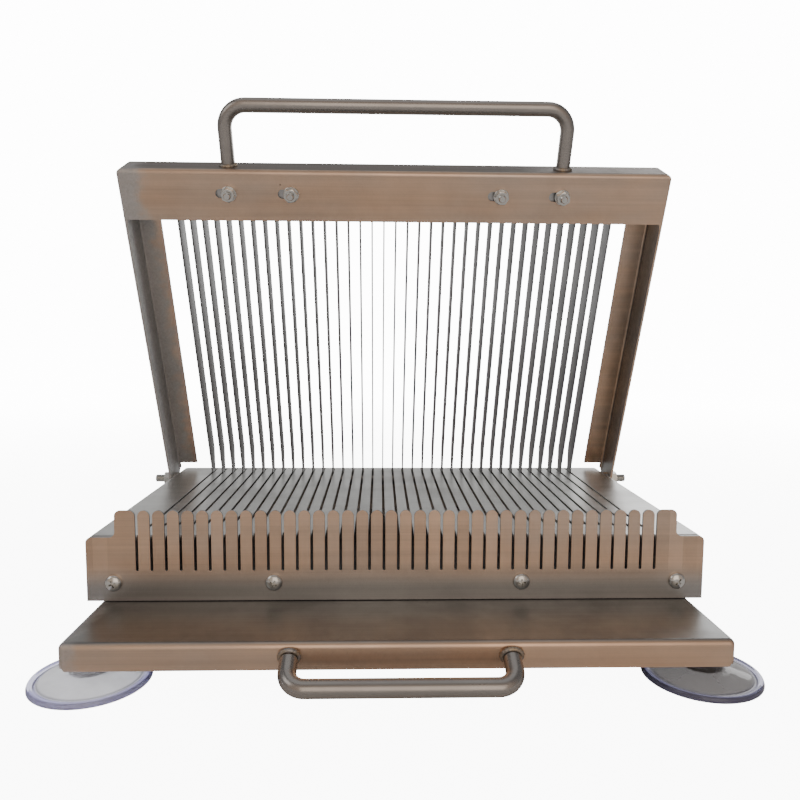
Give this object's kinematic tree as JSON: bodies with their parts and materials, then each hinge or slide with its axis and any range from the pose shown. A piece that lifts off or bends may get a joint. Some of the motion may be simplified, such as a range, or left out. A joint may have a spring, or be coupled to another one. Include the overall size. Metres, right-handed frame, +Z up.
{
  "type": "manual multi-blade food slicer",
  "caption": "Hand-operated countertop slicer: hinged lid of parallel blades that close through a slotted bed and comb, on suction-cup feet.",
  "frame": {"origin": "on the table, under the middle of the bounding box at rest, lid open", "axes": "+X to the right along the comb, +Y from the front handle to the hinge, +Z up"},
  "size_m": [0.38, 0.2815, 0.3215],
  "materials": {
    "sheet_steel": "brushed stainless sheet",
    "blade_steel": "ground stainless blade",
    "bar_steel": "satin drawn bar",
    "plated_hardware": "bright plated screws and nuts",
    "clear_vinyl": "clear moulded vinyl"
  },
  "bodies": {
    "base": {"body_cover": "sheet_steel", "body_base_frame": "sheet_steel", "comb_plate": "sheet_steel", "base_tray": "sheet_steel", "front_handle": "bar_steel", "hinge_rod": "plated_hardware", "hinge_nut_left": "plated_hardware", "hinge_nut_right": "plated_hardware", "suction_cup_front_left": "clear_vinyl", "suction_cup_front_right": "clear_vinyl", "suction_cup_rear_left": "clear_vinyl", "suction_cup_rear_right": "clear_vinyl", "comb_screw_left_outer": "plated_hardware", "comb_screw_left_inner": "plated_hardware", "comb_screw_right_inner": "plated_hardware", "comb_screw_right_outer": "plated_hardware"},
    "lid": {"lid_frame": "sheet_steel", "blade_holder": "blade_steel", "lid_handle": "bar_steel", "blade_01": "blade_steel", "blade_02": "blade_steel", "blade_03": "blade_steel", "blade_04": "blade_steel", "blade_05": "blade_steel", "blade_06": "blade_steel", "blade_07": "blade_steel", "blade_08": "blade_steel", "blade_09": "blade_steel", "blade_10": "blade_steel", "blade_11": "blade_steel", "blade_12": "blade_steel", "blade_13": "blade_steel", "blade_14": "blade_steel", "blade_15": "blade_steel", "blade_16": "blade_steel", "blade_17": "blade_steel", "blade_18": "blade_steel", "blade_19": "blade_steel", "blade_20": "blade_steel", "blade_21": "blade_steel", "blade_22": "blade_steel", "blade_23": "blade_steel", "blade_24": "blade_steel", "blade_25": "blade_steel", "blade_26": "blade_steel", "blade_27": "blade_steel", "blade_28": "blade_steel", "blade_29": "blade_steel", "blade_30": "blade_steel", "blade_31": "blade_steel", "blade_32": "blade_steel", "blade_33": "blade_steel", "blade_34": "blade_steel", "blade_35": "blade_steel", "blade_36": "blade_steel", "blade_37": "blade_steel", "lid_bolt_left_outer": "plated_hardware", "lid_bolt_left_inner": "plated_hardware", "lid_bolt_right_inner": "plated_hardware", "lid_bolt_right_outer": "plated_hardware"}
  },
  "joints": [
    {"name": "lid_hinge", "type": "hinge", "parent": "base", "child": "lid", "pos_m": [0, 0.12345, 0.0583], "axis": [1, 0, 0], "range_deg": [-30, 67.6]}
  ]
}
